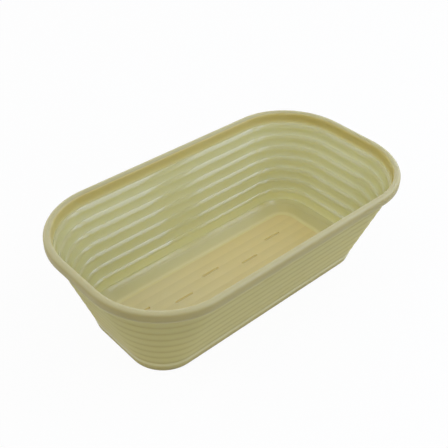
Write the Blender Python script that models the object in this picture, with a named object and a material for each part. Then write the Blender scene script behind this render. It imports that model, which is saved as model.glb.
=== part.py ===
"""Rectangular proofing basket: a moulded shell that copies a basket wound from cane.

Every level of the basket is the rim's outline set inwards, so the shell is described by a
profile of (inset, height) points that is lofted around that outline. The rim, the ribbed wall
and the floor pan are three closed bodies that meet at the sharp inner corners of the ribs.
"""

import math

import bmesh
import bpy

MM = 0.001

# Overall size, measured over the rim
RIM_LENGTH = 280.0 * MM
RIM_WIDTH = 153.0 * MM
RIM_CORNER_RADIUS = 57.3 * MM
BASKET_HEIGHT = 85.0 * MM

# Rim bead and the smooth collar under it
RIM_THICKNESS = 5.7 * MM
RIM_DEPTH = 7.6 * MM
RIM_OVERHANG = 3.1 * MM
RIM_TOP_ROUND = 2.2 * MM
RIM_EDGE_ROUND = 0.9 * MM
COLLAR_DEPTH = 10.9 * MM

# Ribbed wall
WALL_DRAFT = math.radians(19.9)
INNER_DRAFT = math.radians(20.3)
WALL_THICKNESS = 1.95 * MM
RIB_COUNT = 8
RIB_PITCH = 9.16 * MM
RIB_ROUND = 4.5 * MM
LEDGE_TILT = math.radians(25.0)
LAST_LEDGE_TILT = math.radians(10.0)
RISER_DRAFT = math.radians(8.0)
OUTER_CREASE = 0.4 * MM

# Floor, shoulder and foot
FLOOR_HEIGHT = 3.4 * MM
FLOOR_THICKNESS = 2.0 * MM
FLOOR_EDGE_INSET = 45.0 * MM
FLOOR_FILLET = 6.0 * MM
FLOOR_COILS = 3
FLOOR_CREASE = 0.2 * MM
FLOOR_CORNER_RADIUS = 9.0 * MM
FOOT_WIDTH = 2.4 * MM
FOOT_FLARE = 1.0 * MM
FOOT_EDGE_ROUND = 0.6 * MM

# Vent slots, cut along creases of the floor: the crease of each row, counted in coils from the
# middle, and the row's stagger as a share of the spacing
SLOT_ROWS = ((1.5, 0.0), (0.5, 0.5), (-1.5, 0.0))
SLOT_LENGTH = 17.4 * MM
SLOT_WIDTH = 2.2 * MM
SLOT_SPACING = 70.6 * MM
SLOT_SHIFT = 8.1 * MM
SLOT_EDGE_MARGIN = 5.0 * MM

# Gap that keeps neighbouring bodies apart
SEAM = 0.3 * MM

# Steps along the curves
CORNER_STEPS = 8
ROUND_STEPS = 4
CROWN_STEPS = 4
SLOT_END_STEPS = 6
SHARP_ANGLE = math.radians(32.0)

# Places worked out from the sizes above
RIM_UNDERSIDE = BASKET_HEIGHT - RIM_DEPTH
FIRST_RIB = BASKET_HEIGHT - COLLAR_DEPTH
LAST_RIB = FIRST_RIB - (RIB_COUNT - 1) * RIB_PITCH
FLOOR_HALF_WIDTH = RIM_WIDTH / 2 - FLOOR_EDGE_INSET
FLOOR_HALF_LENGTH = RIM_LENGTH / 2 - FLOOR_EDGE_INSET
FLOOR_PITCH = FLOOR_HALF_WIDTH / (FLOOR_COILS + 0.5)

# Colours of the plastic, as linear red, green and blue
RIM_COLOUR = (0.56, 0.47, 0.22)
WALL_COLOUR = (0.60, 0.53, 0.27)
FLOOR_COLOUR = (0.66, 0.56, 0.27)
PLASTIC_ROUGHNESS = 0.2


def clear_scene():
    for old in list(bpy.data.objects):
        bpy.data.objects.remove(old, do_unlink=True)


def plastic(name, colour):
    material = bpy.data.materials.new(name)
    material.use_nodes = True
    shader = material.node_tree.nodes["Principled BSDF"]
    shader.inputs["Base Color"].default_value = (*colour, 1.0)
    shader.inputs["Roughness"].default_value = PLASTIC_ROUGHNESS
    shader.inputs["Metallic"].default_value = 0.0
    return material


def outer_inset(height):
    """Inset of the wall's outer crests at a height: the wall leans in from the rim's underside."""
    return RIM_OVERHANG + (RIM_UNDERSIDE - height) * math.tan(WALL_DRAFT)


def rib_height(index):
    return FIRST_RIB - index * RIB_PITCH


def rib_inset(index):
    """Inset of the sharp inner corner from which a rib's ledge springs; the wall thickens downwards."""
    drop = FIRST_RIB - rib_height(index)
    return outer_inset(FIRST_RIB) + WALL_THICKNESS + drop * math.tan(INNER_DRAFT)


def crest_centre(index, tilt):
    """Middle of a rib's round, placed so that the ledge leaves its corner already tilted."""
    inset = rib_inset(index) - RIB_ROUND * math.sin(tilt)
    return inset, rib_height(index) - RIB_ROUND * math.cos(tilt)


def arc(centre, radius, start, end, steps=ROUND_STEPS):
    """Points on a circle in the profile; angles run from +inset towards +height."""
    points = []
    for step in range(steps + 1):
        angle = start + (end - start) * step / steps
        inset = centre[0] + radius * math.cos(angle)
        height = centre[1] + radius * math.sin(angle)
        points.append((inset, height))
    return points


def crowned_band(top, bottom, bottom_shift=0.0):
    """Outer face of one rib, swelling between two shallow creases, from the bottom up."""
    points = []
    for step in range(CROWN_STEPS + 1):
        share = step / CROWN_STEPS
        height = bottom + (top - bottom) * share
        dip = OUTER_CREASE * (2 * share - 1) ** 2
        points.append((outer_inset(height) + dip + bottom_shift * (1 - share), height))
    return points


def rim_profile():
    """Rim bead and collar, from the collar's foot up the inside, over the top and down outside."""
    seat = FIRST_RIB + SEAM
    top_centre = BASKET_HEIGHT - RIM_TOP_ROUND
    points = [(rib_inset(0), seat)]
    points += arc((RIM_THICKNESS - RIM_TOP_ROUND, top_centre), RIM_TOP_ROUND, 0.0, math.pi / 2)
    points += arc((RIM_TOP_ROUND, top_centre), RIM_TOP_ROUND, math.pi / 2, math.pi)
    edge_centre = (RIM_EDGE_ROUND, RIM_UNDERSIDE + RIM_EDGE_ROUND)
    points += arc(edge_centre, RIM_EDGE_ROUND, math.pi, 1.5 * math.pi, 2)
    points.append((outer_inset(RIM_UNDERSIDE), RIM_UNDERSIDE))
    points.append((outer_inset(seat) + OUTER_CREASE, seat))
    return points


def wall_profile():
    """Ribbed wall: rounded ledges and risers down the inside, shallow crowned bands up the outside."""
    foot = LAST_RIB + SEAM
    points = []
    for rib in range(RIB_COUNT - 1):
        points += arc(crest_centre(rib, LEDGE_TILT), RIB_ROUND, math.pi / 2 - LEDGE_TILT, RISER_DRAFT)
    riser_top = points[-1]
    share = (riser_top[1] - foot) / (riser_top[1] - LAST_RIB)
    points.append((riser_top[0] + (rib_inset(RIB_COUNT - 1) - riser_top[0]) * share, foot))
    for rib in reversed(range(RIB_COUNT - 1)):
        bottom = max(rib_height(rib + 1), foot)
        band = crowned_band(rib_height(rib), bottom)
        points += band if rib == RIB_COUNT - 2 else band[1:]
    return points


def shoulder_angle(crest, fillet):
    """Slope of the plain shoulder, tangent to the last rib's crest and to the floor's fillet."""
    across = fillet[0] - crest[0]
    rise = crest[1] - fillet[1]
    reach = math.hypot(across, rise)
    return math.atan2(rise, across) + math.asin((RIB_ROUND + FLOOR_FILLET) / reach)


def floor_top_profile():
    """Ridged floor from its middle outwards: gently crowned coils with a crease between them."""
    points = []
    for step in range(1, CROWN_STEPS // 2 + 2):
        share = step / (CROWN_STEPS // 2 + 1)
        dip = FLOOR_CREASE * share ** 2
        points.append((RIM_WIDTH / 2 - FLOOR_PITCH / 2 * share, FLOOR_HEIGHT - dip))
    for coil in range(1, FLOOR_COILS + 1):
        outermost = coil == FLOOR_COILS
        for step in range(1, CROWN_STEPS + 1):
            share = step / CROWN_STEPS
            half_width = (coil - 0.5 + share) * FLOOR_PITCH
            swell = min(2 * share - 1, 0.0) if outermost else 2 * share - 1
            points.append((RIM_WIDTH / 2 - half_width, FLOOR_HEIGHT - FLOOR_CREASE * swell ** 2))
    return points


def floor_profile():
    """Floor pan from the middle of its top, over the shoulder and round the foot to its underside."""
    crest = crest_centre(RIB_COUNT - 1, LAST_LEDGE_TILT)
    fillet = (FLOOR_EDGE_INSET, FLOOR_HEIGHT + FLOOR_FILLET)
    slope = shoulder_angle(crest, fillet)
    points = floor_top_profile()
    points += arc(fillet, FLOOR_FILLET, -math.pi / 2, -math.pi / 2 - slope)[1:]
    points += arc(crest, RIB_ROUND, math.pi / 2 - slope, math.pi / 2 - LAST_LEDGE_TILT)

    foot_inset = outer_inset(0.0) - FOOT_FLARE
    edge_centre = (foot_inset + FOOT_EDGE_ROUND, FOOT_EDGE_ROUND)
    points += reversed(crowned_band(LAST_RIB, FOOT_EDGE_ROUND, -FOOT_FLARE)[1:])
    points += arc(edge_centre, FOOT_EDGE_ROUND, math.pi, 1.5 * math.pi, 2)

    inner_foot = foot_inset + FOOT_WIDTH
    under_round = FLOOR_FILLET + FLOOR_THICKNESS
    under_arc = arc(fillet, under_round, -math.pi / 2 - slope, -math.pi / 2)
    under_rise = (under_arc[0][0] - inner_foot) * math.tan(slope)
    points.append((inner_foot, 0.0))
    points.append((inner_foot, under_arc[0][1] + under_rise))
    points += under_arc
    return points


def outline(inset, steps=CORNER_STEPS):
    """Rounded rectangle: the rim's outline set inwards, with its corners kept open on the floor."""
    half_length = RIM_LENGTH / 2 - inset
    half_width = RIM_WIDTH / 2 - inset
    widest = 0.9 * half_width
    radius = min(max(RIM_CORNER_RADIUS - inset, FLOOR_CORNER_RADIUS), widest)
    points = []
    for quarter, (side_x, side_y) in enumerate(((1, 1), (-1, 1), (-1, -1), (1, -1))):
        centre_x = side_x * (half_length - radius)
        centre_y = side_y * (half_width - radius)
        for step in range(steps + 1):
            angle = (quarter + step / steps) * math.pi / 2
            points.append((centre_x + radius * math.cos(angle), centre_y + radius * math.sin(angle)))
    return points


def loft(profile, seat, ring):
    """Skin the profile around the outline; a ring closes on itself, a pan is capped in its middle."""
    mesh = bmesh.new()
    loops = []
    for inset, height in profile:
        loops.append([mesh.verts.new((x, y, height - seat)) for x, y in outline(inset)])
    pairs = list(zip(loops, loops[1:]))
    if ring:
        pairs.append((loops[-1], loops[0]))
    for upper, lower in pairs:
        for here in range(len(upper)):
            there = (here + 1) % len(upper)
            mesh.faces.new((upper[here], upper[there], lower[there], lower[here]))
    if not ring:
        mesh.faces.new(loops[0])
        mesh.faces.new(loops[-1])
    bmesh.ops.recalc_face_normals(mesh, faces=mesh.faces)
    return mesh


def add_object(name, mesh, seat, material=None):
    data = bpy.data.meshes.new(name)
    mesh.to_mesh(data)
    mesh.free()
    data.shade_smooth()
    data.set_sharp_from_angle(angle=SHARP_ANGLE)
    if material:
        data.materials.append(material)
    piece = bpy.data.objects.new(name, data)
    piece.location.z = seat
    bpy.context.scene.collection.objects.link(piece)
    return piece


def slot_centres():
    """Slots stand in staggered rows along the creases, all set off a little towards one end."""
    reach = FLOOR_HALF_LENGTH - SLOT_EDGE_MARGIN - SLOT_LENGTH / 2
    most = math.ceil(reach / SLOT_SPACING) + 1
    centres = []
    for row, stagger in SLOT_ROWS:
        for count in range(-most, most + 1):
            x = (count + stagger) * SLOT_SPACING - SLOT_SHIFT
            if abs(x) <= reach:
                centres.append((x, row * FLOOR_PITCH))
    return centres


def slot_cutter():
    """Round-ended bars that pass right through the floor."""
    mesh = bmesh.new()
    radius = SLOT_WIDTH / 2
    run = SLOT_LENGTH / 2 - radius
    base = -FLOOR_THICKNESS
    for centre_x, centre_y in slot_centres():
        rim = []
        for side, turn in ((1, -0.5), (-1, 0.5)):
            for step in range(SLOT_END_STEPS + 1):
                angle = (turn + step / SLOT_END_STEPS) * math.pi
                x = centre_x + side * run + radius * math.cos(angle)
                rim.append(mesh.verts.new((x, centre_y + radius * math.sin(angle), base)))
        face = mesh.faces.new(rim)
        raised = bmesh.ops.extrude_face_region(mesh, geom=[face])
        corners = [item for item in raised["geom"] if isinstance(item, bmesh.types.BMVert)]
        bmesh.ops.translate(mesh, verts=corners, vec=(0.0, 0.0, 3 * FLOOR_THICKNESS))
    bmesh.ops.recalc_face_normals(mesh, faces=mesh.faces)
    cutter = add_object("slot_cutter", mesh, FLOOR_HEIGHT - FLOOR_THICKNESS)
    cutter.hide_render = True
    cutter.display_type = "WIRE"
    return cutter


def build():
    clear_scene()
    basket = bpy.data.objects.new("basket", None)
    bpy.context.scene.collection.objects.link(basket)

    rim_seat = FIRST_RIB + SEAM
    wall_seat = LAST_RIB + SEAM
    rim_plastic = plastic("rim_plastic", RIM_COLOUR)
    wall_plastic = plastic("wall_plastic", WALL_COLOUR)
    floor_plastic = plastic("floor_plastic", FLOOR_COLOUR)
    rim = add_object("rim", loft(rim_profile(), rim_seat, True), rim_seat, rim_plastic)
    wall = add_object("ribbed_wall", loft(wall_profile(), wall_seat, True), wall_seat, wall_plastic)
    pan = add_object("floor_pan", loft(floor_profile(), 0.0, False), 0.0, floor_plastic)

    cutter = slot_cutter()
    vents = pan.modifiers.new("vents", "BOOLEAN")
    vents.operation = "DIFFERENCE"
    vents.solver = "EXACT"
    vents.object = cutter

    for piece in (rim, wall, pan, cutter):
        piece.parent = basket


build()
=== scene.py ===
import bpy
import bmesh
import math
from mathutils import Matrix, Vector


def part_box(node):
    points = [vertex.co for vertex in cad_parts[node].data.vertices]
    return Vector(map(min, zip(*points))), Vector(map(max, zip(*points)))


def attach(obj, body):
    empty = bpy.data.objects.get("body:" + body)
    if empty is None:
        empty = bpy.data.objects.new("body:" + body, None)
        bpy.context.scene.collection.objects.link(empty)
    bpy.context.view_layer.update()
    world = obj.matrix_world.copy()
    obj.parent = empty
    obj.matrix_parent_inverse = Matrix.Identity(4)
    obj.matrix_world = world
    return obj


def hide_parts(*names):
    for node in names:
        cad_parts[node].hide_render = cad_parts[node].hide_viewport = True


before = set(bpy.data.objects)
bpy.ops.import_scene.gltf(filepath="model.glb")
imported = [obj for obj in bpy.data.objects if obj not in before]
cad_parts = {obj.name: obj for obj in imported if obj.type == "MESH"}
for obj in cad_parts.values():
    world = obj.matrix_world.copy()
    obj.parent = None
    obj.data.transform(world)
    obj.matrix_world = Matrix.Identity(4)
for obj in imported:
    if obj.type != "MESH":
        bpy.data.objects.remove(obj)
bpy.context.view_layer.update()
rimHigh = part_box("rim")[1]
print("frame loaded, rim", [round(v * 1000, 1) for v in rimHigh])

mm = 0.001

shell = {
    "halfLength": rimHigh.x,
    "halfWidth": rimHigh.y,
    "height": rimHigh.z,
    "cornerRadius": 57.3 * mm,      # rim corner seen from above
    "beadWide": 5.7 * mm,
    "beadDeep": 7.6 * mm,
    "beadTopRound": 2.75 * mm,
    "beadLowRound": 1.0 * mm,
    "overhang": 3.1 * mm,
    "neckFillet": 0.8 * mm,         # under the bead
    "neckEnd": 20,                  # degrees, where that fillet runs into the wall
    "collarDeep": 10.9 * mm,
    "draft": math.radians(19.9),    # outside
    "innerDraft": math.radians(20.3),
    "wall": 1.95 * mm,              # at the top rib's sharp corner
    "ribCount": 8,
    "ribPitch": 9.16 * mm,
    "ribRound": 4.5 * mm,
    "ledgeTilt": 25.0,              # degrees off level where a ledge leaves its corner
    "lastTilt": 10.0,               # the same above the shoulder
    "riserDraft": 8.0,
    "rootGap": 2,                   # degrees by which a crest stops short of its corner
    "ribRoot": 0.3 * mm,            # tiny fillet in each sharp corner
    "rootSpots": (0.12, 1.0),       # its two points, as shares of it
    "outerCrease": 0.4 * mm,
    "floorTop": 3.4 * mm,
    "floorThick": 2.0 * mm,
    "floorInset": 45.0 * mm,        # edge of the flat floor, in from the rim
    "floorFillet": 6.0 * mm,
    "floorCoils": 3,
    "floorCrease": 0.2 * mm,
    "floorCorner": 9.0 * mm,
    "cornerMost": 0.9,              # largest corner of a small ring, as a share of its half width
    "footWide": 2.4 * mm,
    "footFlare": 1.0 * mm,
    "footRound": 0.6 * mm,
    "footChamfer": 0.3 * mm,
    "cornerSteps": 22,
    "longSteps": 22,
    "shortSteps": 8,
    "coilSteps": 10,
    "crestSteps": 10,
    "beadSteps": 8,
    "beadLowSteps": 5,
    "neckSteps": 4,
    "bandSteps": 8,
    "footSteps": 3,
    "filletSteps": 8,
    "sharpAngle": math.radians(38),
}

vents = {
    "long": 17.4 * mm,
    "wide": 2.2 * mm,
    "spacing": 70.6 * mm,
    "shift": 8.1 * mm,              # the rows don't start in the middle
    "rows": ((1.5, 0), (0.5, 0.5), (-1.5, 0)),  # place in floor coils, stagger in spacings
    "edgeMargin": 5.0 * mm,
    "endSteps": 8,
    "cutFrom": -1.0 * mm,
    "cutDeep": 7.0 * mm,
}


def outerInset(z):                  # crest line of the outside, leaning in from the bead's underside
    under = shell["height"] - shell["beadDeep"]
    return shell["overhang"] + (under - z) * math.tan(shell["draft"])


def ribHeight(k):
    return shell["height"] - shell["collarDeep"] - k * shell["ribPitch"]


def ribInset(k):                    # the sharp corner a ledge springs from
    drop = ribHeight(0) - ribHeight(k)
    return outerInset(ribHeight(0)) + shell["wall"] + drop * math.tan(shell["innerDraft"])


def arcPoints(cx, cz, radius, startDeg, endDeg, steps):
    pts = []
    for i in range(steps + 1):
        t = math.radians(startDeg + (endDeg - startDeg) * i / steps)
        pts.append((cx + radius * math.cos(t), cz + radius * math.sin(t)))
    return pts


def floorPitch():                   # width of a coil, with half a coil in the middle
    return (shell["halfWidth"] - shell["floorInset"]) / (shell["floorCoils"] + 0.5)


def floorCoilPoints():              # middle of the floor outwards, a shallow crease between coils
    pitch, dip, top = floorPitch(), shell["floorCrease"], shell["floorTop"]
    whole, half = shell["coilSteps"], shell["coilSteps"] // 2
    pts = []
    for i in range(1, half + 1):
        s = i / half
        pts.append((shell["halfWidth"] - pitch / 2 * s, top - dip * s ** 2))
    for coil in range(1, shell["floorCoils"] + 1):
        for i in range(1, whole + 1):
            s = i / whole
            swell = 2 * s - 1
            if coil == shell["floorCoils"]:
                swell = min(swell, 0)   # the outermost coil runs out level
            pts.append((shell["halfWidth"] - (coil - 0.5 + s) * pitch, top - dip * swell ** 2))
    return pts


def ledgeTilt(k):
    return shell["lastTilt"] if k == shell["ribCount"] - 1 else shell["ledgeTilt"]


def crestCentre(k):                 # middle of the round above each riser
    rho, t = shell["ribRound"], math.radians(ledgeTilt(k))
    return ribInset(k) - rho * math.sin(t), ribHeight(k) - rho * math.cos(t)


def shoulderSlope():                # tangent line between the last rib's crest and the floor fillet
    crest = crestCentre(shell["ribCount"] - 1)
    across = shell["floorInset"] - crest[0]
    rise = crest[1] - shell["floorTop"] - shell["floorFillet"]
    reach = math.hypot(across, rise)
    lean = math.asin((shell["ribRound"] + shell["floorFillet"]) / reach)
    return math.degrees(math.atan2(rise, across) + lean)


def ribLadder():                    # up the inside: crest arc, sharp corner, riser, next crest
    rho, root, last = shell["ribRound"], shell["ribRoot"], shell["ribCount"] - 1
    pts = []
    for k in reversed(range(shell["ribCount"])):
        start = 90 - shoulderSlope() if k == last else shell["riserDraft"]
        stop = 90 - ledgeTilt(k) - shell["rootGap"]
        pts += arcPoints(*crestCentre(k), rho, start, stop, shell["crestSteps"])
        foot = (ribInset(k), ribHeight(k))
        head = (shell["beadWide"], shell["height"])
        if k:                       # the next crest's first point
            head = arcPoints(*crestCentre(k - 1), rho, shell["riserDraft"], 0, 1)[0]
        lean = math.hypot(head[0] - foot[0], head[1] - foot[1])
        for s in shell["rootSpots"]:
            pts.append((foot[0] + (head[0] - foot[0]) * root * s / lean,
                        foot[1] + (head[1] - foot[1]) * root * s / lean))
    return pts


def beadPoints():                   # over the rim and back under it to the neck
    r, low, fillet = shell["beadTopRound"], shell["beadLowRound"], shell["neckFillet"]
    top, under = shell["height"] - r, shell["height"] - shell["beadDeep"]
    pts = arcPoints(shell["beadWide"] - r, top, r, 0, 90, shell["beadSteps"])
    pts += arcPoints(r, top, r, 90, 180, shell["beadSteps"])
    pts += arcPoints(low, under + low, low, 180, 270, shell["beadLowSteps"])
    pts += arcPoints(outerInset(under) - fillet, under - fillet, fillet,
                     90, shell["neckEnd"], shell["neckSteps"])
    return pts


def outerBandPoints():              # down the outside in shallow crowned bands
    pts = []
    edges = [ribHeight(k) for k in range(shell["ribCount"])] + [shell["footRound"]]
    for k in range(shell["ribCount"]):
        top, bottom = edges[k], edges[k + 1]
        flare = shell["footFlare"] if k == shell["ribCount"] - 1 else 0
        for i in range(0 if k == 0 else 1, shell["bandSteps"] + 1):
            s = i / shell["bandSteps"]
            z = top + (bottom - top) * s
            pts.append((outerInset(z) + shell["outerCrease"] * (2 * s - 1) ** 2 - flare * s, z))
    return pts


def footPoints():                   # round the foot and along the underside
    slope = shoulderSlope()
    foot = outerInset(0) - shell["footFlare"]
    inner = foot + shell["footWide"]
    r, chamfer = shell["footRound"], shell["footChamfer"]
    pts = arcPoints(foot + r, r, r, 180, 270, shell["footSteps"])[1:]
    pts.append((inner - chamfer, 0))
    pts.append((inner, chamfer))
    under = arcPoints(shell["floorInset"], shell["floorTop"] + shell["floorFillet"],
                      shell["floorFillet"] + shell["floorThick"], 270 - slope, 270, shell["filletSteps"])
    pts.append((inner, under[0][1] + (under[0][0] - inner) * math.tan(math.radians(slope))))
    return pts + under


def basketProfile():
    slope = shoulderSlope()
    pts = floorCoilPoints()
    pts += arcPoints(shell["floorInset"], shell["floorTop"] + shell["floorFillet"],
                     shell["floorFillet"], 270, 270 - slope, shell["filletSteps"])[1:]
    return pts + ribLadder() + beadPoints() + outerBandPoints() + footPoints()


def ringOutline(inset):             # the rim's outline set inwards, corners kept open on the floor
    hx, hy = shell["halfLength"] - inset, shell["halfWidth"] - inset
    r = min(max(shell["cornerRadius"] - inset, shell["floorCorner"]), shell["cornerMost"] * hy)
    corners = [(hx - r, hy - r, 0), (r - hx, hy - r, 90),
               (r - hx, r - hy, 180), (hx - r, r - hy, 270)]
    pts = []
    for i, (cx, cy, start) in enumerate(corners):
        arcRun = arcPoints(cx, cy, r, start, start + 90, shell["cornerSteps"])
        nx, ny, nextStart = corners[(i + 1) % 4]
        t = math.radians(nextStart)
        goal = (nx + r * math.cos(t), ny + r * math.sin(t))
        steps = shell["longSteps"] if i % 2 == 0 else shell["shortSteps"]
        last = arcRun[-1]
        side = [(last[0] + (goal[0] - last[0]) * j / steps, last[1] + (goal[1] - last[1]) * j / steps)
                for j in range(1, steps)]
        pts += arcRun + side
    return pts


def moulding():                     # one skin lofted from the floor's middle, over the rim, to the underside
    bm = bmesh.new()
    rings = [[bm.verts.new((x, y, z)) for x, y in ringOutline(inset)] for inset, z in basketProfile()]
    for lower, upper in zip(rings, rings[1:]):
        n = len(lower)
        for i in range(n):
            j = (i + 1) % n
            bm.faces.new((lower[i], lower[j], upper[j], upper[i]))
    bm.faces.new(rings[0])
    bm.faces.new(rings[-1])
    bmesh.ops.recalc_face_normals(bm, faces=bm.faces)
    return bm


def linkMesh(name, bm):
    mesh = bpy.data.meshes.new(name)
    bm.to_mesh(mesh)
    bm.free()
    piece = bpy.data.objects.new(name, mesh)
    bpy.context.scene.collection.objects.link(piece)
    return piece


def ventCentres():                  # staggered rows in the creases
    reach = shell["halfLength"] - shell["floorInset"] - vents["edgeMargin"] - vents["long"] / 2
    most = math.ceil(reach / vents["spacing"]) + 1
    spots = []
    for row, stagger in vents["rows"]:
        for n in range(-most, most + 1):
            x = (n + stagger) * vents["spacing"] - vents["shift"]
            if abs(x) <= reach:
                spots.append((x, row * floorPitch()))
    return spots


def ventCutter():
    bm = bmesh.new()
    r = vents["wide"] / 2
    run = vents["long"] / 2 - r
    for cx, cy in ventCentres():
        edge = arcPoints(cx + run, cy, r, -90, 90, vents["endSteps"])
        edge += arcPoints(cx - run, cy, r, 90, 270, vents["endSteps"])
        face = bm.faces.new([bm.verts.new((x, y, vents["cutFrom"])) for x, y in edge])
        raised = bmesh.ops.extrude_face_region(bm, geom=[face])
        tops = [g for g in raised["geom"] if isinstance(g, bmesh.types.BMVert)]
        bmesh.ops.translate(bm, verts=tops, vec=(0, 0, vents["cutDeep"]))
    bmesh.ops.recalc_face_normals(bm, faces=bm.faces)
    return linkMesh("ventCutter", bm)


def cutVents(piece):
    cutter = ventCutter()
    cut = piece.modifiers.new("vents", "BOOLEAN")
    cut.operation = "DIFFERENCE"
    cut.solver = "EXACT"
    cut.object = cutter
    done = bpy.data.meshes.new_from_object(piece.evaluated_get(bpy.context.evaluated_depsgraph_get()))
    piece.modifiers.clear()
    piece.data = done
    bpy.data.objects.remove(cutter, do_unlink=True)


basket = linkMesh("basketShell", moulding())
cutVents(basket)
basket.data.shade_smooth()
basket.data.set_sharp_from_angle(angle=shell["sharpAngle"])
print("moulding made,", len(basket.data.polygons), "faces")

# linear colours, then shares of them, then the finish
plastic = {
    "body": (0.535, 0.50, 0.25),    # the thin wall, mottled with pale
    "pale": (0.565, 0.53, 0.27),
    "ledge": (0.475, 0.44, 0.205),  # painted shade on the ribs' upward-facing ledges
    # shoulder: paler than the wall, painted light at the foot of the wall
    "shoulder": (0.61, 0.565, 0.23),
    # floorLeft: painted light, the floor paler and cooler towards its left end
    "floorLeft": (0.715, 0.655, 0.345),
    "floor": (0.735, 0.625, 0.29),  # warmer and paler: painted light, as if lit from both sides
    # floorEdge: a painted highlight along the floor's edge fillet
    "floorEdge": (0.75, 0.70, 0.335),
    # ventWall: painted light, paler than the floor to brighten the shade in the slots
    "ventWall": (0.82, 0.70, 0.30),
    # outside: darker and deeper than the inside, painted shade on the downward-facing skin
    "outside": (0.475, 0.42, 0.155),
    "bandShade": (0.38, 0.32, 0.09),  # painted shade at the foot of each outer band
    "collar": (0.58, 0.495, 0.19),
    # rimTop: painted light, the bead's upward-facing top paler
    "rimTop": (0.495, 0.445, 0.235),
    "rimSide": (0.385, 0.325, 0.12),  # painted shade on the bead's outer side; the thick plastic also makes it deeper
    "bandHead": 0.4,                # share of painted band shade at the head of each outer band
    "crease": 0.92,                 # painted shade left in the creases
    "neckShade": 0.88,              # on the outside, just under the rim
    "rimShade": 0.82,               # along the rim's lower edge
    "footLift": 1.16,               # painted light: the inside paler towards the shoulder
    "coilShade": (1.015, 0.965),    # across each of the floor's coils
    "roughness": (0.02, 0.035),
    "roughOutside": 0.75,
    "roughFloor": 0.4,              # the floor and shoulder are scuffed
    "roughRim": 0.45,
    "ior": 1.49,
    "glow": 1.0,                    # share of light that wanders inside the plastic
    "glowReach": 10.0 * mm,
    "glowTint": (0.85, 0.93, 1.0),
    "mottle": (28, 4),              # noise scale and detail
    "smudge": (60, 5),
    "grain": (900.0, 3),
    "grainHeight": 0.0001 * mm,
}

floorEdge = shell["cornerRadius"] - shell["floorInset"]

# where each tone starts and where it is full
zones = {
    "outside": (-0.10, -0.25),      # by how far the skin faces up
    "faceUp": (0.35, 0.8),
    "ledge": (0.2, 0.65),
    "rimTop": (0.3, 0.95),
    "slitWall": (0.5, 0.2),
    "neck": (15.0 * mm, 75.0 * mm),  # by height
    "footLift": (26.0 * mm, 9.0 * mm),
    "shoulder": (10.5 * mm, 6.5 * mm),
    "floor": (8.0 * mm, 6.0 * mm),
    "slit": (4.5 * mm, 4.0 * mm),
    "rimEdge": (77.0 * mm, 81.0 * mm),
    "rim": (72.5 * mm, 77.5 * mm),
    "flat": (floorEdge + 1.4 * mm, floorEdge + 0.2 * mm),  # by distance from the straight core
    "lineIn": (floorEdge - 0.6 * mm, floorEdge + 0.6 * mm),
    "lineOut": (floorEdge + 4.4 * mm, floorEdge + 1.4 * mm),
    "slitRing": (20.0 * mm, 18.0 * mm),
    "floorRight": (-75.0 * mm, 35.0 * mm),  # along the basket, where the floor's painted light changes
    "bandFoot": (0.40, 0.95),       # by share of a band or coil
    "bandHead": (0.2, 0.0),
    "coil": (0.15, 0.9),
    "inward": (0.0, -0.02),         # by place dotted with facing, negative on the basket's inside
    "crease": (0.47, 0.50),         # by pointiness
    "smudge": (0.35, 0.7),          # by noise
}


class NodeBench:                    # short hand for wiring one node tree
    def __init__(self, owner):
        owner.use_nodes = True
        self.nodes, self.links = owner.node_tree.nodes, owner.node_tree.links
        self.bsdf = self.nodes.get("Principled BSDF")

    def add(self, kind, **sockets):
        node = self.nodes.new("ShaderNode" + kind)
        for name, value in sockets.items():
            self.plug(node.inputs[name], value)
        return node

    def plug(self, socket, value):
        if isinstance(value, bpy.types.NodeSocket):
            self.links.new(value, socket)
        else:
            socket.default_value = value

    def ramp(self, value, low, high, toLow=0.0, toHigh=1.0):
        node = self.add("MapRange", Value=value)
        node.interpolation_type = "SMOOTHSTEP"
        ends = {"From Min": low, "From Max": high, "To Min": toLow, "To Max": toHigh}
        for name, v in ends.items():
            self.plug(node.inputs[name], v)
        return node.outputs["Result"]

    def mix(self, fac, a, b):
        node = self.add("Mix")
        node.data_type = "RGBA"
        for name, v in zip(("Factor", "A", "B"), (fac, a, b)):
            self.plug(node.inputs[name], v if not isinstance(v, tuple) else (*v, 1))
        return node.outputs["Result"]

    def noise(self, place, scale, detail):
        return self.add("TexNoise", Vector=place, Scale=scale, Detail=detail).outputs["Fac"]

    def maths(self, kind, a, b):
        node = self.add("Math")
        node.operation = kind
        self.plug(node.inputs[0], a)
        self.plug(node.inputs[1], b)
        return node.outputs["Value"]

    def both(self, a, b):
        return self.maths("MULTIPLY", a, b)

    def phase(self, value, start, pitch):
        turns = self.both(self.maths("SUBTRACT", value, start), 1 / pitch)
        return self.maths("FRACT", turns, 0.0)

    def vector(self, kind, a, b=None):
        node = self.add("VectorMath")
        node.operation = kind
        self.plug(node.inputs[0], a)
        if b is not None:
            self.plug(node.inputs["Scale" if kind == "SCALE" else 1], b)
        return node.outputs["Value" if kind in ("DOT_PRODUCT", "LENGTH") else "Vector"]

    def shade(self, colour, share):
        return self.vector("SCALE", colour, share)

    def towards(self, direction, axis):
        return self.vector("DOT_PRODUCT", direction, axis)

    def ringDistance(self, place):  # how far outside the basket's straight core a point lies
        core = (shell["halfLength"] - shell["cornerRadius"], shell["halfWidth"] - shell["cornerRadius"], 1.0)
        past = self.vector("SUBTRACT", self.vector("ABSOLUTE", place), core)
        return self.vector("LENGTH", self.vector("MAXIMUM", past, (0, 0, 0)))

    def backgroundRay(self):        # rays that should meet plain white behind the basket
        path = self.add("LightPath").outputs
        bent = self.maths("MAXIMUM", path["Is Glossy Ray"], path["Is Transmission Ray"])
        return self.maths("MAXIMUM", path["Is Camera Ray"], bent)


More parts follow.
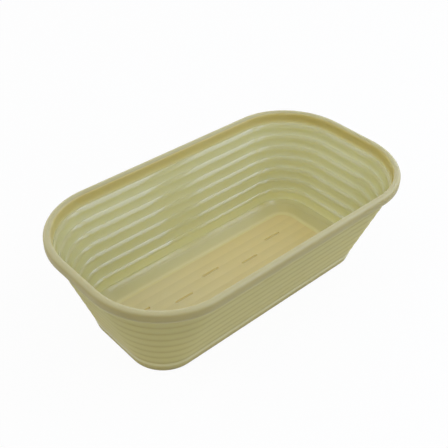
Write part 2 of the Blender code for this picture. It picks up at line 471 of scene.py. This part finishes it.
def surfaceMarks(bench):            # what the tones are placed by
    coord = bench.add("TexCoord").outputs
    spot = bench.add("SeparateXYZ", Vector=coord["Object"]).outputs
    at = {"place": coord["Object"], "facing": coord["Normal"]}
    at["along"], at["across"], at["height"] = spot["X"], spot["Y"], spot["Z"]
    at["upward"] = bench.add("SeparateXYZ", Vector=at["facing"]).outputs["Z"]
    at["ring"] = bench.ringDistance(at["place"])
    at["outside"] = bench.ramp(at["upward"], *zones["outside"])
    at["faceUp"] = bench.ramp(at["upward"], *zones["faceUp"])
    at["bottom"] = bench.both(at["faceUp"], bench.ramp(at["height"], *zones["shoulder"]))
    at["rim"] = bench.ramp(at["height"], *zones["rim"])
    return at


def wallTone(bench, at):            # ribs inside, crowned bands outside, with painted light and shade
    tone = bench.mix(bench.noise(at["place"], *plastic["mottle"]), plastic["body"], plastic["pale"])
    # painted shade on the upward-facing ledges
    tone = bench.mix(bench.ramp(at["upward"], *zones["ledge"]), tone, plastic["ledge"])
    # painted light, paler towards the shoulder
    tone = bench.shade(tone, bench.ramp(at["height"], *zones["footLift"], 1.0, plastic["footLift"]))
    # painted shade banding the outside, darkest at each band's foot
    band = bench.phase(at["height"], ribHeight(0), -shell["ribPitch"])
    bandShadeShare = bench.maths("MAXIMUM", bench.ramp(band, *zones["bandFoot"]),
                       bench.ramp(band, *zones["bandHead"], 0.0, plastic["bandHead"]))
    skin = bench.mix(bandShadeShare, plastic["outside"], plastic["bandShade"])
    skin = bench.shade(skin, bench.ramp(at["height"], *zones["neck"], 1.0, plastic["neckShade"]))
    # the downward-facing outside takes its darker tone, painted shade
    return bench.mix(at["outside"], tone, skin)


def floorTone(bench, at, tone):     # shoulder and flat floor in painted light, and the pale line round the floor, a painted highlight
    # painted light on the shoulder
    tone = bench.mix(at["bottom"], tone, plastic["shoulder"])
    flat = bench.both(at["faceUp"], bench.ramp(at["ring"], *zones["flat"]))
    flat = bench.both(flat, bench.ramp(at["height"], *zones["floor"]))
    # painted light: the floor paler towards its left end
    right = bench.ramp(at["along"], *zones["floorRight"])
    floor = bench.mix(right, plastic["floorLeft"], plastic["floor"])
    coil = bench.phase(at["across"], floorPitch() / 2, floorPitch())
    floor = bench.shade(floor, bench.ramp(coil, *zones["coil"], *plastic["coilShade"]))
    tone = bench.mix(flat, tone, floor)
    # painted highlight along the floor's edge fillet
    line = bench.both(bench.ramp(at["ring"], *zones["lineIn"]), bench.ramp(at["ring"], *zones["lineOut"]))
    return bench.mix(bench.both(line, at["bottom"]), tone, plastic["floorEdge"])


def rimTone(bench, at, tone):       # thick bead, with the collar inside it; painted light on top, painted shade on the outer side and its lower edge
    rimEdgeShade = bench.ramp(at["height"], *zones["rimEdge"], plastic["rimShade"], 1.0)
    inward = bench.ramp(bench.towards(at["place"], at["facing"]), *zones["inward"])
    rim = bench.mix(inward, bench.shade(plastic["rimSide"], rimEdgeShade), plastic["collar"])
    rim = bench.mix(bench.ramp(at["upward"], *zones["rimTop"]), rim, plastic["rimTop"])
    return bench.mix(at["rim"], tone, rim)


def ventTone(bench, at, tone):      # walls of the vent slots, painted paler to brighten their shade
    low = bench.both(bench.ramp(at["ring"], *zones["slitRing"]), bench.ramp(at["height"], *zones["slit"]))
    slit = bench.both(bench.ramp(at["upward"], *zones["slitWall"]), low)
    return bench.mix(slit, tone, plastic["ventWall"])


# painted shade darkens the creases, found by pointiness
def creaseShade(bench, tone):
    creasePointiness = bench.add("NewGeometry").outputs["Pointiness"]
    return bench.shade(tone, bench.ramp(creasePointiness, *zones["crease"], plastic["crease"], 1.0))


def polish(bench, at):              # glossy inside, duller where a mask asks for it
    smudge = bench.noise(at["place"], *plastic["smudge"])
    rough = bench.ramp(smudge, *zones["smudge"], *plastic["roughness"])
    for mask, level in (("outside", "roughOutside"), ("bottom", "roughFloor"), ("rim", "roughRim")):
        rough = bench.maths("MAXIMUM", rough, bench.both(at[mask], plastic[level]))
    return rough


def creamPlastic():
    mat = bpy.data.materials.new("creamPlastic")
    bench = NodeBench(mat)
    skin = bench.bsdf.inputs
    at = surfaceMarks(bench)
    tone = wallTone(bench, at)
    for paint in (floorTone, rimTone, ventTone):
        tone = paint(bench, at, tone)
    bench.plug(skin["Base Color"], creaseShade(bench, tone))
    bench.plug(skin["Roughness"], polish(bench, at))
    grain = bench.noise(at["place"], *plastic["grain"])
    bump = bench.add("Bump", Height=grain, Distance=plastic["grainHeight"])
    bench.plug(skin["Normal"], bump.outputs["Normal"])
    skin["IOR"].default_value = plastic["ior"]
    skin["Subsurface Weight"].default_value = plastic["glow"]
    skin["Subsurface Scale"].default_value = plastic["glowReach"]
    skin["Subsurface Radius"].default_value = plastic["glowTint"]
    return mat


basket.data.materials.clear()
basket.data.materials.append(creamPlastic())
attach(basket, "root")
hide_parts("rim", "ribbed_wall", "floor_pan")
print("plastic on")

studio = {
    "key": (-0.96, -0.28, 0.0),     # the brighter side of the dome
    "keySpread": (-0.6, 0.6),
    "rear": (0.694, 0.720, 0.0),    # the side with the backdrop
    "rearSpread": (-0.2, 0.85),
    "domeKey": 1.12,                # world light overhead, towards the key side and away from it
    "domeAway": 0.25,
    "domeFoot": (0.05, 0.60),       # it fades out towards the horizon
    "backdrop": 2.4,                # glow of the white backdrop, low at the rear
    "backdropTop": (0.35, 0.15),    # it fades out upwards
    "floorSize": 6.0,
    "floorGap": 0.2 * mm,           # the basket stands this far above it
    "floorColour": (0.85, 0.85, 0.85),
    "floorRough": 0.9,
    "whiteSeen": 0.95,              # how much of the floor the camera sees as plain white
    "underTone": (0.50, 0.43, 0.20),  # and the painted warm shade that camera, mirror and transmission rays see under the basket
    "underHalf": (102.0 * mm, 39.0 * mm),
    "underFade": 5.0 * mm,
    "underLight": (0.36, 0.26, 0.11),  # painted light: the floor under the basket glows up into the basket's floor, standing for the white table's bounce
}


def paperFloor():
    mat = bpy.data.materials.new("paperFloor")
    bench = NodeBench(mat)
    bench.bsdf.inputs["Base Color"].default_value = (*studio["floorColour"], 1)
    bench.bsdf.inputs["Roughness"].default_value = studio["floorRough"]
    spot = bench.add("SeparateXYZ", Vector=bench.add("TexCoord").outputs["Object"]).outputs
    sides = []
    for axis, half in zip("XY", studio["underHalf"]):
        away = bench.maths("ABSOLUTE", spot[axis], 0.0)
        sides.append(bench.ramp(away, half, half - studio["underFade"]))
    under = bench.both(*sides)
    seen = bench.backgroundRay()
    # under the basket the floor glows with painted light, and camera, mirror and transmission rays see
    # painted shade there
    glow = bench.mix(under, (1, 1, 1), bench.mix(seen, studio["underLight"], studio["underTone"]))
    white = bench.add("Emission", Color=glow)
    mix = bench.add("MixShader", Fac=bench.both(bench.maths("MAXIMUM", seen, under), studio["whiteSeen"]))
    bench.plug(mix.inputs[1], bench.bsdf.outputs["BSDF"])
    bench.plug(mix.inputs[2], white.outputs["Emission"])
    below = bench.add("MixShader", Fac=bench.add("NewGeometry").outputs["Backfacing"])
    bench.plug(below.inputs[1], mix.outputs["Shader"])
    bench.plug(below.inputs[2], bench.add("BsdfTransparent").outputs["BSDF"])
    bench.plug(bench.nodes["Material Output"].inputs["Surface"], below.outputs["Shader"])
    mat.cycles.emission_sampling = "NONE"
    return mat


def studioFloor():
    bm = bmesh.new()
    bmesh.ops.create_grid(bm, x_segments=1, y_segments=1, size=studio["floorSize"] / 2)
    floor = linkMesh("studioFloor", bm)
    floor.location.z = -studio["floorGap"]
    floor.data.materials.append(paperFloor())


def studioWorld():
    world = bpy.data.worlds.new("studioWorld")
    bpy.context.scene.world = world
    bench = NodeBench(world)
    sky = bench.add("TexCoord").outputs["Generated"]
    rise = bench.add("SeparateXYZ", Vector=sky).outputs["Z"]
    keySide = bench.towards(sky, studio["key"])
    dome = bench.ramp(keySide, *studio["keySpread"], studio["domeAway"], studio["domeKey"])
    dome = bench.both(dome, bench.ramp(rise, *studio["domeFoot"]))
    rearSide = bench.towards(sky, studio["rear"])
    glow = bench.ramp(rearSide, *studio["rearSpread"], 0.0, studio["backdrop"])
    glow = bench.both(glow, bench.ramp(rise, *studio["backdropTop"]))
    level = bench.maths("MAXIMUM", bench.maths("ADD", dome, glow), bench.backgroundRay())
    background = bench.nodes["Background"].inputs
    background["Color"].default_value = (1, 1, 1, 1)
    bench.plug(background["Strength"], level)


softboxes = {
    "tint": (0.62, 0.72, 1.0),
    "away": 1.2,                    # metres from the basket
    "strips": 6,                    # per box, so that its edges stay straight in the plastic
    # seen from the basket: reach along an axis, swing in degrees round it from overhead,
    # and glow of the top strip and the lowest
    "boxes": {
        "nearBox": {"axis": "x", "reach": (0.340, 0.479), "swing": (6, 84), "glow": (3.7, 2.7)},
        "farBox": {"axis": "x", "reach": (0.542, 0.74), "swing": (6, 84), "glow": (3.7, 2.7)},
        "leftBox": {"axis": "y", "reach": (0.43, 0.555), "swing": (9, 60), "glow": (1.9, 1.2)},
    },
}


def hangStrip(name, box, low, high, glow):
    away = softboxes["away"]
    mid, half = math.radians(low + high) / 2, math.radians(high - low) / 2
    start, stop = box["reach"]
    reach = (start + stop) / 2
    rest = math.sqrt(1 - reach ** 2)
    toward = Vector((reach, -rest * math.sin(mid), rest * math.cos(mid)))
    along = Vector((0, -math.cos(mid), -math.sin(mid)))
    if box["axis"] == "y":
        toward, along = toward.yxz, along.yxz
    light = bpy.data.lights.new(name, "AREA")
    light.shape = "RECTANGLE"
    light.size = away * (stop - start) / rest
    light.size_y = 2 * away * rest * math.tan(half)
    light.energy = glow * light.size * light.size_y * math.pi
    light.color = softboxes["tint"]
    wide = along.cross(toward).normalized()
    turn = Matrix((wide, toward.cross(wide), toward)).transposed().to_4x4()
    lamp = bpy.data.objects.new(name, light)
    lamp.matrix_world = Matrix.Translation(toward * away) @ turn
    lamp.visible_camera = False
    bpy.context.scene.collection.objects.link(lamp)


def hangSoftboxes():                # each box dims from its top strip to its lowest
    strips = softboxes["strips"]
    for name, box in softboxes["boxes"].items():
        low, high = box["swing"]
        top, bottom = box["glow"]
        step = (high - low) / strips
        for i in range(strips):
            glow = top + (bottom - top) * i / (strips - 1)
            hangStrip(name + str(i + 1), box, low + i * step, low + (i + 1) * step, glow)


studioFloor()
studioWorld()
hangSoftboxes()
print("studio set")

viewpoint = {
    "azimuth": -43.945,             # degrees
    "elevation": 38.153,
    "roll": 2.238,
    "distance": 0.59755,
    "target": (0.00792, 0.01666, 0.04243),
    "focalPixels": 756.99,
    "imagePixels": 448,
    "nearClip": 0.01,
}


def photoCamera():
    a, e, roll = (math.radians(viewpoint[k]) for k in ("azimuth", "elevation", "roll"))
    back = Vector((math.sin(a) * math.cos(e), -math.cos(a) * math.cos(e), math.sin(e)))
    right = (-back).cross(Vector((0, 0, 1))).normalized()
    up = right.cross(-back)
    right, up = math.cos(roll) * right + math.sin(roll) * up, math.cos(roll) * up - math.sin(roll) * right
    data = bpy.data.cameras.new("photoCamera")
    data.sensor_fit = "HORIZONTAL"
    data.angle = 2 * math.atan(viewpoint["imagePixels"] / 2 / viewpoint["focalPixels"])
    data.clip_start = viewpoint["nearClip"]
    camera = bpy.data.objects.new("photoCamera", data)
    turn = Matrix((right, up, back)).transposed().to_4x4()
    stand = Vector(viewpoint["target"]) + back * viewpoint["distance"]
    camera.matrix_world = Matrix.Translation(stand) @ turn
    bpy.context.scene.collection.objects.link(camera)
    bpy.context.scene.camera = camera


photoCamera()
bpy.context.scene.view_settings.view_transform = "Standard"
